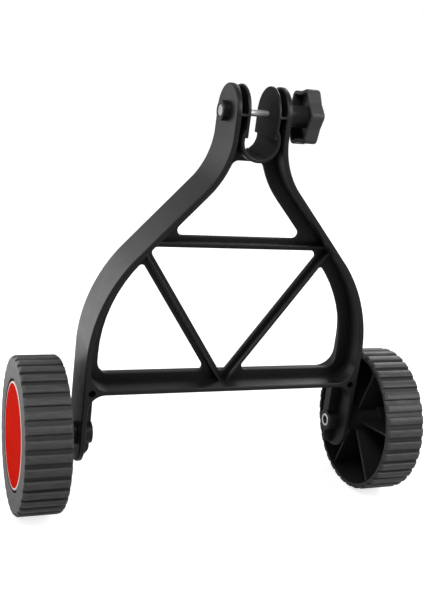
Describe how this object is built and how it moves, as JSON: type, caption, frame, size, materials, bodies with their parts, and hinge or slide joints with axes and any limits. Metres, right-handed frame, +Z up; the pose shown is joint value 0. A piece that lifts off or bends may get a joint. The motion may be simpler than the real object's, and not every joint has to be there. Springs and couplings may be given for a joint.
{
  "type": "clamp-on pole support wheels",
  "caption": "Moulded A-frame that clamps round a tool pole by a split ring, cross bolt and hand knob, with a treaded plastic wheel and flat cap on a stub axle at each leg.",
  "frame": {"origin": "centre of the clamp's bore, at the middle of the frame's depth", "axes": "+X along the axles towards the knob's side, +Y along the pole through the clamp, +Z up from the axles to the clamp"},
  "size_m": [0.322, 0.12, 0.332],
  "materials": {
    "frame_plastic": "satin injection moulding",
    "knob_plastic": "satin injection moulding",
    "wheel_plastic": "matt",
    "cap_white": "gloss",
    "cap_red": "gloss",
    "zinc_steel": "zinc plated",
    "insert_brass": "turned"
  },
  "bodies": {
    "frame": {"frame": "frame_plastic", "clamp_bolt": "zinc_steel", "left_axle_screw": "zinc_steel", "left_axle_sleeve": "zinc_steel", "left_inner_washer": "zinc_steel", "left_outer_washer": "zinc_steel", "left_lock_nut": "zinc_steel", "right_axle_screw": "zinc_steel", "right_axle_sleeve": "zinc_steel", "right_inner_washer": "zinc_steel", "right_outer_washer": "zinc_steel", "right_lock_nut": "zinc_steel"},
    "left_wheel": {"left_wheel": "wheel_plastic", "left_cap": "cap_white", "left_cap_face": "cap_red"},
    "right_wheel": {"right_wheel": "wheel_plastic", "right_cap": "cap_white", "right_cap_face": "cap_red"},
    "washer": {"clamp_washer": "zinc_steel"},
    "knob": {"knob": "knob_plastic", "knob_insert": "insert_brass"}
  },
  "joints": [
    {"name": "left_wheel_spin", "type": "hinge", "parent": "frame", "child": "left_wheel", "pos_m": [-0.144, 0, -0.2332], "axis": [1, 0, 0], "continuous": true},
    {"name": "right_wheel_spin", "type": "hinge", "parent": "frame", "child": "right_wheel", "pos_m": [0.144, 0, -0.2332], "axis": [1, 0, 0], "continuous": true},
    {"name": "knob_travel", "type": "slide", "parent": "frame", "child": "washer", "axis": [1, 0, 0], "range_m": [0, 0.0041]},
    {"name": "knob_turn", "type": "hinge", "parent": "washer", "child": "knob", "pos_m": [0.03, 0, 0.0179], "axis": [1, 0, 0], "range_deg": [0, 1800]}
  ],
  "couplings": [
    {"joint": "knob_travel", "follows": "knob_turn", "m_per_rad": 0.00012732}
  ]
}
